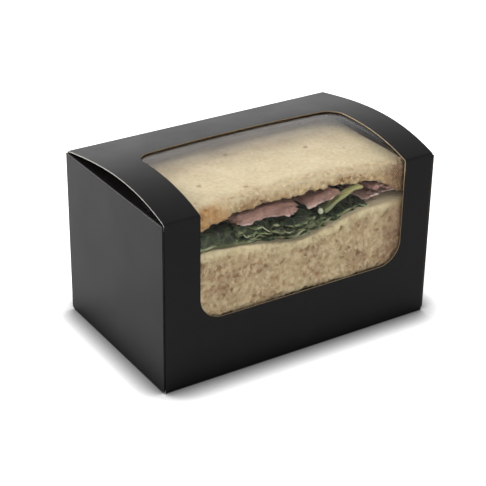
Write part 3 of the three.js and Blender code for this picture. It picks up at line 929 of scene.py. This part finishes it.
def slice_of_bread(name, node, voxel, craggy=0.0, meets=0):
    """A slice with a porous cut face. It reaches up (1) or down (-1) there to the slice it meets, and one
    that reaches down has a paler rim above, a painted highlight. A craggy one sags at its right and is
    toasted below."""
    piece = solid_copy(node, name)
    apply(piece, "REMESH", mode="VOXEL", voxel_size=voxel, adaptivity=0)
    place, normal = points(piece)
    x, y, z = place.T
    from_top = z.max() - z
    from_bottom = z - z.min()
    from_end = BREAD_HALF - np.abs(x - BREAD_MIDDLE)
    front = step(-normal[:, 1], 0.2, 0.7) * (y < 0)
    face = step(BREAD_FRONT + 12 * MM - y, 0, 10 * MM)
    if meets:
        weigh(piece, "joint", face * step(meets * normal[:, 2], 0.1, 0.5))
        push(piece, None, meets * JOINT_REACH, "joint", "Z", 0)
    if craggy:
        sag = step(x, BREAD_RIGHT - 18 * MM, BREAD_RIGHT - 2 * MM) * step(from_top, 2 * MM, 7 * MM)
        weigh(piece, "sag", face * sag)
        push(piece, None, -SAG, "sag", "Z", 0)
    below_rim = step(from_top, 0.6 * MM, 3.5 * MM) if meets < 1 else 1
    above_rim = step(from_bottom, 0.2 * MM, 2.0 * MM) if not meets else 1
    brink = per_column(x, y, BREAD_COLUMN, np.minimum)
    shoulder = step(brink + 9 * MM - y, 0, 7 * MM) * (1 - front) * (craggy > 0)
    opened = front * (0.3 + 0.7 * below_rim * above_rim)
    weigh(piece, "crumb", np.maximum(opened, 0.55 * shoulder))
    weigh(piece, "skin", (1 - front) * (0.4 + 0.6 * step(from_end, 0, 4 * MM)))
    pitted = open_crumb(piece, craggy, normal)
    keep_behind(piece, FILM_SIDE)

    store(piece, "pit", np.clip(pitted / (0.5 * MM), 0, 1) * (1 - 0.45 * craggy))
    cut_share = front * (0.15 + 0.85 * below_rim) * (1 + 0.3 * craggy)
    store(piece, "cut", np.maximum(cut_share, 0.6 * shoulder))
    # Painted highlight: where the slice that reaches down is made pale along the top of its front
    if meets < 0:
        crest = per_column(x, z, BREAD_COLUMN, np.maximum, y < BREAD_FRONT + 4 * MM)
        store(piece, "pale", front * step(z - crest + 5.0 * MM, 0, 3.8 * MM))
    rind = 0.8 * step(2.0 * MM - from_end, 0, 1.5 * MM)
    # Painted shade: towards the right end the front takes the crust's colour, partly for where the slice
    # rounds off
    right_painted_shade = 0.75 * front * step(x, BREAD_RIGHT - 18 * MM, BREAD_RIGHT - 5 * MM)
    store(piece, "crust_and_painted_shade", np.maximum(rind, right_painted_shade))
    lower_edge = step(6.5 * MM - from_bottom, 0, 5 * MM) * front
    left_corner = step(BREAD_LEFT + 27 * MM - x, 0, 16 * MM) * np.maximum(front, 0.7 * shoulder)
    store(piece, "toast", np.clip(0.75 * lower_edge + left_corner, 0, 1) * (craggy > 0))
    finish_food(piece, "white_bread")
    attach(piece, "carton")
    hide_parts(node)


def ham_fold(name, node, voxel=0.45 * MM, thin=0.3 * MM):
    """Folded ham: its edge is drawn out into uneven folds, with painted shade along its top, and pale and
    torn below. Towards its left and right it gets thinner by thin on each side."""
    piece = solid_copy(node, name)
    apply(piece, "REMESH", mode="VOXEL", voxel_size=voxel, adaptivity=0)
    apply(piece, "SMOOTH", factor=0.5, iterations=5)
    x, y = points(piece)[0].T[:2]
    front = y.min()
    edge = step(front + 9 * MM - y, 0, 8 * MM)
    weigh(piece, "edge", edge)
    side = np.minimum(x - x.min(), x.max() - x)
    weigh(piece, "sides", step(6 * MM - side, 0, 6 * MM) * edge)
    push(piece, None, -thin, "sides", mid_level=0)
    push(piece, pattern("CLOUDS", 9 * MM, noise_depth=1), 2.6 * MM, "edge", "Y")
    push(piece, pattern("CLOUDS", 5 * MM, noise_depth=1), 2.3 * MM, "edge")
    creases = pattern("CLOUDS", 3.2 * MM, noise_depth=2, noise_type="HARD_NOISE")
    push(piece, creases, -1.5 * MM, "edge", mid_level=0.3)
    push(piece, pattern("CLOUDS", 1.3 * MM, noise_depth=2), 0.6 * MM, "edge")
    keep_behind(piece, FILM_SIDE)

    x, y, z = points(piece)[0].T
    near = y < front + 8 * MM
    bottom = per_column(x, z, HAM_COLUMN, np.minimum, near)
    crest = per_column(x, z, HAM_COLUMN, np.maximum, near)
    store(piece, "fat", 0.75 * edge * step(bottom + 2.2 * MM - z, 0, 1.6 * MM))
    # Painted shade: the mask along the top of the ham's front, under the bread
    store(piece, "dark", 0.7 * edge * step(z - crest + 1.5 * MM, 0, 1.4 * MM))
    finish_food(piece, "cooked_ham")
    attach(piece, "carton")
    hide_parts(node)


def leaf_sheet(name, node, bed, lift, ruffle, size, droop, reach, further):
    """One sheet laid at lift over the slice named bed, ruffled towards its front edge. Its lip hangs by
    droop, it comes reach ahead of its solid, and it goes on further to the right."""
    low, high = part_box(node)
    high.x += further
    length = high.x - low.x
    front = low.y - reach
    deselect()
    bpy.ops.mesh.primitive_grid_add(
        x_subdivisions=int(length / (0.35 * MM)), y_subdivisions=int(LEAF_DEPTH / (0.5 * MM)), size=1,
        location=((low.x + high.x) / 2, front + LEAF_DEPTH / 2, cad_high.z),
    )
    piece = named(name)
    piece.scale = (length, LEAF_DEPTH, 1)
    settle(piece)
    apply(
        piece, "SHRINKWRAP", target=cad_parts[bed], wrap_method="PROJECT",
        use_project_z=True, use_positive_direction=False, use_negative_direction=True, offset=lift,
    )
    edit(piece)
    pick("VERT", lambda place, normal: place.z > cad_high.z - TINY)
    bpy.ops.mesh.delete(type="VERT")
    done()
    y = points(piece)[0][:, 1]
    ahead = front + CURL - y
    weigh(piece, "edge", step(ahead, 0, CURL))
    weigh(piece, "lip", step(ahead, LIP_START, CURL))
    push(piece, None, -droop, "lip", "Z", 0)
    push(piece, pattern("CLOUDS", 2.2 * size, noise_depth=1), 1.4 * ruffle, "edge", "Y")
    push(piece, pattern("CLOUDS", size, noise_depth=1), 1.5 * ruffle, "edge", "Z")
    push(piece, pattern("CLOUDS", 0.45 * size, noise_depth=1), 0.8 * ruffle, "lip", "Z")
    push(piece, pattern("CLOUDS", 0.7 * size, noise_depth=1), 1.1 * ruffle, "lip", "Y")
    store(piece, "rim", step(front + 1.1 * MM - y, 0, 1.0 * MM))
    keep_behind(piece, FILM_SIDE + 0.2 * MM)
    apply(piece, "SOLIDIFY", thickness=LEAF_THICKNESS, offset=0)
    return piece


def leaf(
    name, node, lifts, ruffle, size, droop=1.2 * MM, reach=0.8 * MM, further=0, bed="upper_bottom_slice",
):
    """A leaf folded into one or more sheets at their heights over its bed."""
    sheets = []
    for i, lift in enumerate(lifts):
        spread = size * (1 + 0.17 * i)
        sheets.append(leaf_sheet(name, node, bed, lift, ruffle, spread, droop, reach - 0.5 * i * MM, further))
    piece = join(*sheets) if len(sheets) > 1 else sheets[0]
    finish_food(piece, "salad_leaf")
    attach(piece, "carton")
    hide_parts(node)


def stalk():
    """The stalk that slants up at the right, a narrow ribbed strip at the front of its solid."""
    piece = solid_copy("upper_leaf_stem", "stalk")
    front = points(piece)[0][:, 1].min()
    edit(piece)
    cut((0, front + STALK_DEPTH, 0), (0, 1, 0), clear_outer=True, use_fill=True)
    done()
    apply(piece, "REMESH", mode="VOXEL", voxel_size=0.25 * MM, adaptivity=0)
    apply(piece, "SMOOTH", factor=0.5, iterations=10)
    z = points(piece)[0][:, 2]
    push(piece, pattern("CLOUDS", 7 * MM, noise_depth=1), 1.2 * MM, direction="Z")
    push(piece, pattern("CLOUDS", 2.0 * MM, noise_depth=1), 0.4 * MM)
    store(piece, "high", step(z, z.min(), z.max()))
    finish_food(piece, "leaf_stalk")
    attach(piece, "carton")
    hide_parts("upper_leaf_stem")


def pale_rib():
    """The short pale end of a leaf's rib that shows beside the stalk."""
    deselect()
    bpy.ops.mesh.primitive_uv_sphere_add(segments=24, ring_count=14, radius=1, location=RIB_PLACE)
    piece = named("pale_rib")
    piece.scale = RIB_SIZE
    piece.rotation_euler = (0, RIB_TILT, 0)
    settle(piece)
    push(piece, pattern("CLOUDS", 1.6 * MM, noise_depth=1), 0.7 * MM)
    store(piece, "pale", np.ones(len(piece.data.vertices)))
    finish_food(piece, "leaf_stalk")
    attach(piece, "carton")


# Setting


def lamp(name, place, target, size, power):
    data = bpy.data.lights.new(name, "AREA")
    data.shape = "SQUARE"
    data.size = size
    data.energy = power
    made = bpy.data.objects.new(name, data)
    bpy.context.collection.objects.link(made)
    made.location = place
    made.rotation_euler = (Vector(target) - Vector(place)).to_track_quat("-Z", "Y").to_euler()


def surroundings():
    """White all round for the camera, dimmer as light, and brightest at the horizon in what gloss shows."""
    world = bpy.data.worlds.new("white_studio")
    bpy.context.scene.world = world
    world.use_nodes = True
    tree = world.node_tree
    ray = add(tree, "ShaderNodeLightPath")
    seen = seen_straight(tree, ray)
    height = add(tree, "ShaderNodeSeparateXYZ")
    link(tree, add(tree, "ShaderNodeTexCoord").outputs["Generated"], height.inputs["Vector"])
    sky = between(tree, height.outputs["Z"], 0.0, 0.9, 1.78, 0.66)
    mirrored = calc(tree, "MULTIPLY", ray.outputs["Is Glossy Ray"], sky)
    background = tree.nodes["Background"]
    background.inputs["Color"].default_value = (1, 1, 1, 1)
    strength = calc(tree, "MAXIMUM", calc(tree, "MAXIMUM", seen, mirrored), 0.5)
    link(tree, strength, background.inputs["Strength"])
    lamp("overhead_softbox", (-0.15, -0.1, 0.75), (0, 0, 0), size=0.7, power=1.2)
    lamp("floor_light_back_left", (-0.35, 0.35, 0.25), (-0.2, 0.15, 0), size=0.3, power=2.4)


def studio_floor():
    deselect()
    bpy.ops.mesh.primitive_grid_add(x_subdivisions=8, y_subdivisions=8, size=FLOOR_SIZE)
    piece = named("studio_floor")
    piece.data.materials.append(bpy.data.materials["floor_white"])


def camera():
    away = Vector((
        sin(CAMERA_AZIMUTH) * cos(CAMERA_ELEVATION),
        -cos(CAMERA_AZIMUTH) * cos(CAMERA_ELEVATION),
        sin(CAMERA_ELEVATION),
    ))
    right = Vector((0, 0, 1)).cross(away).normalized()
    up = away.cross(right)
    rolled_right = cos(CAMERA_ROLL) * right + sin(CAMERA_ROLL) * up
    rolled_up = cos(CAMERA_ROLL) * up - sin(CAMERA_ROLL) * right
    made = bpy.data.objects.new("camera", bpy.data.cameras.new("camera"))
    bpy.context.collection.objects.link(made)
    turn = Matrix((rolled_right, rolled_up, away)).transposed().to_4x4()
    turn.translation = CAMERA_PLACE
    made.matrix_world = turn
    made.data.sensor_width = SENSOR
    made.data.lens = SENSOR * FOCAL_PIXELS / PICTURE_PIXELS
    bpy.context.scene.camera = made


grain_group()
for finish in (satin_card, card_inside, clear_film, bread, ham, leaf_green, stalk_green, floor_white):
    finish()
cut_board("cut_edge", (0.30, 0.29, 0.27), (0.50, 0.48, 0.45))
cut_board("window_edge", (0.30, 0.22, 0.13), (0.50, 0.39, 0.26))

sleeve()
end_panel("end_panel_left", "end_flap_left", -1)
end_panel("end_panel_right", "end_flap_right", 1)
hinge_crease("hinge_crease_left", -1)
hinge_crease("hinge_crease_right", 1)
window_film()

slice_of_bread("bread_upper_top", "upper_top_slice", 0.55 * MM, craggy=1.0)
slice_of_bread("bread_upper_bottom", "upper_bottom_slice", 0.55 * MM, meets=-1)
slice_of_bread("bread_lower_top", "lower_top_slice", 0.6 * MM, meets=1)
slice_of_bread("bread_lower_bottom", "lower_bottom_slice", 1.1 * MM)
ham_fold("ham_middle", "upper_ham_middle", thin=1.7 * MM)
ham_fold("ham_small", "upper_ham_small")
ham_fold("ham_right", "upper_ham_right")
ham_fold("ham_lower_left", "lower_ham_left", 0.8 * MM)
ham_fold("ham_lower_right", "lower_ham_right", 0.8 * MM)
leaf("leaf_low", "upper_leaf_low", (0.8 * MM, 1.9 * MM), 1.5 * MM, 5.5 * MM)
leaf("leaf_middle", "upper_leaf_middle", (3.0 * MM, 4.3 * MM), 2.0 * MM, 4.1 * MM)
leaf("leaf_high", "upper_leaf_high", (5.6 * MM, 7.2 * MM), 2.8 * MM, 3.3 * MM)
leaf("leaf_left_low", "upper_leaf_left_low", (0.8 * MM, 1.7 * MM), 1.0 * MM, 6 * MM, further=7 * MM)
leaf(
    "leaf_left", "upper_leaf_left", (2.8 * MM,), 1.0 * MM, 9 * MM,
    droop=2.0 * MM, reach=3.4 * MM, further=9 * MM,
)
leaf(
    "leaf_left_high", "upper_leaf_left_high", (4.8 * MM,), 1.0 * MM, 9 * MM,
    droop=3.4 * MM, reach=2.4 * MM, further=10 * MM,
)
for name, node in (("leaf_lower_left", "lower_leaf"), ("leaf_lower_right", "lower_leaf_back")):
    leaf(name, node, (1.2 * MM,), 1.2 * MM, 7 * MM, bed="lower_bottom_slice")
stalk()
pale_rib()

studio_floor()
surroundings()
camera()
bpy.context.scene.view_settings.view_transform = "Standard"

deselect()
